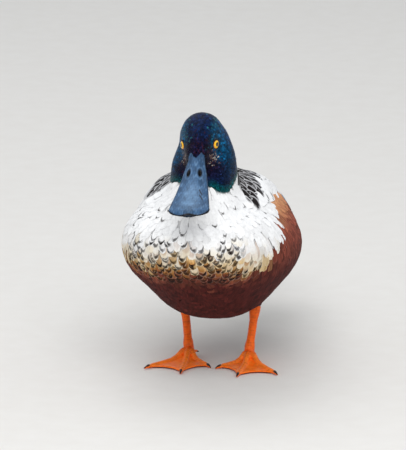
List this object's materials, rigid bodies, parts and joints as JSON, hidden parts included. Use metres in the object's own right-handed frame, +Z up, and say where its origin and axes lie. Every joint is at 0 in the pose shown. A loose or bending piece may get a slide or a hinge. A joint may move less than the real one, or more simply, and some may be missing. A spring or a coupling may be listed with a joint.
{
  "type": "northern shoveler duck",
  "caption": "Life-size still model of a drake duck with a broad spoon-shaped bill, standing on two webbed feet.",
  "frame": {"origin": "the middle of the bounding box's base, on the floor between and a little behind the feet", "axes": "+Z up, -Y the way the bird faces, +Y towards its tail, +X to its left"},
  "size_m": [0.1256, 0.3524, 0.2047],
  "materials": {
    "body_feathers": "matt overlapping feathers, white at the breast with dark brown crescents, chestnut at the flank, near black on the back",
    "neck_feathers": "matt overlapping white feathers",
    "head_feathers": "short glossy feathers, near black with a green and blue sheen",
    "wing_feathers": "overlapping vanes, pale blue at the bend, dark green speculum, grey brown tips",
    "tail_feathers": "overlapping vanes, brown grey with pale edges",
    "bill": "satin horny skin, slate grey",
    "eye": "wet, amber yellow with a black pupil",
    "leg_skin": "scaly skin, bright orange red"
  },
  "bodies": {
    "root": {"trunk": "body_feathers", "neck": "neck_feathers", "head": "head_feathers", "bill_upper": "bill", "bill_lower": "bill", "eye_left": "eye", "eye_right": "eye", "wing_left": "wing_feathers", "wing_right": "wing_feathers", "tail": "tail_feathers", "thigh_left": "body_feathers", "thigh_right": "body_feathers", "leg_left": "leg_skin", "leg_right": "leg_skin", "foot_left": "leg_skin", "foot_right": "leg_skin"}
  },
  "joints": []
}
